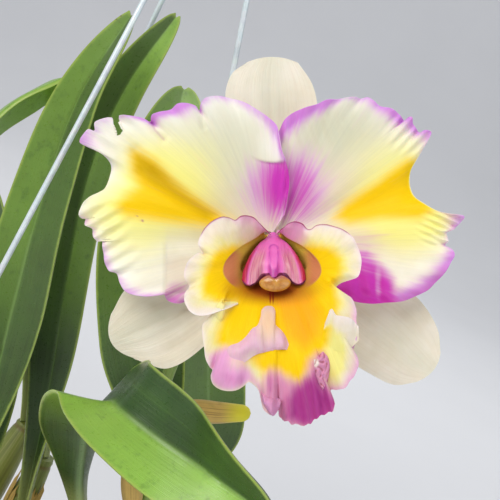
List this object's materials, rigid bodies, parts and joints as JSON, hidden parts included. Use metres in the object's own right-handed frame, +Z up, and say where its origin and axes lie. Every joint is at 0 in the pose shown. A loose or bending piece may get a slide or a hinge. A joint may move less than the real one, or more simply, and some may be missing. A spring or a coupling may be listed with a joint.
{
  "type": "cattleya orchid",
  "caption": "Cattleya orchid with a frilled golden lip and strap leaves, growing in a clay pot hung on steel wires.",
  "frame": {"origin": "the point inside the top of the hook that bears on its support, 0.55 m above the pot's base", "axes": "+Z up through the pot's middle and the collar; the bloom faces -Y; +X to its viewer's right"},
  "size_m": [0.2319, 0.2233, 0.5531],
  "materials": {
    "petal": "matt, cream with yellow and magenta",
    "sepal": "matt ivory",
    "lip": "matt, golden with cream and lilac margins",
    "column": "satin magenta",
    "anther": "glossy cream",
    "leaf": "waxy green",
    "stalk": "satin green",
    "bulb": "furrowed green with papery husks",
    "husk": "dry olive-brown",
    "root": "chalky silver-grey",
    "bark": "rough dark brown",
    "clay": "unglazed terracotta",
    "steel": "dull galvanised"
  },
  "bodies": {
    "root": {"anther_cap": "anther", "bark_medium": "bark", "bulb_flowering": "bulb", "bulb_front": "bulb", "bulb_left": "bulb", "bulb_middle": "bulb", "bulb_old": "bulb", "bulb_rear": "bulb", "bulb_right": "bulb", "bulb_young": "bulb", "column": "column", "flower_sheath": "husk", "flower_stalk": "stalk", "hook": "steel", "leaf_arching": "leaf", "leaf_behind": "leaf", "leaf_far_left": "leaf", "leaf_front": "leaf", "leaf_left": "leaf", "leaf_middle": "leaf", "leaf_right": "leaf", "leaf_young": "leaf", "lip": "lip", "petal_left": "petal", "petal_right": "petal", "pot": "clay", "rhizome_front": "bulb", "rhizome_middle": "bulb", "rhizome_right": "bulb", "root_front": "root", "root_left": "root", "root_over_rim": "root", "root_rear": "root", "root_right": "root", "sepal_left": "sepal", "sepal_right": "sepal", "sepal_top": "sepal", "wire_front": "steel", "wire_rear": "steel", "wire_right": "steel"}
  },
  "joints": []
}
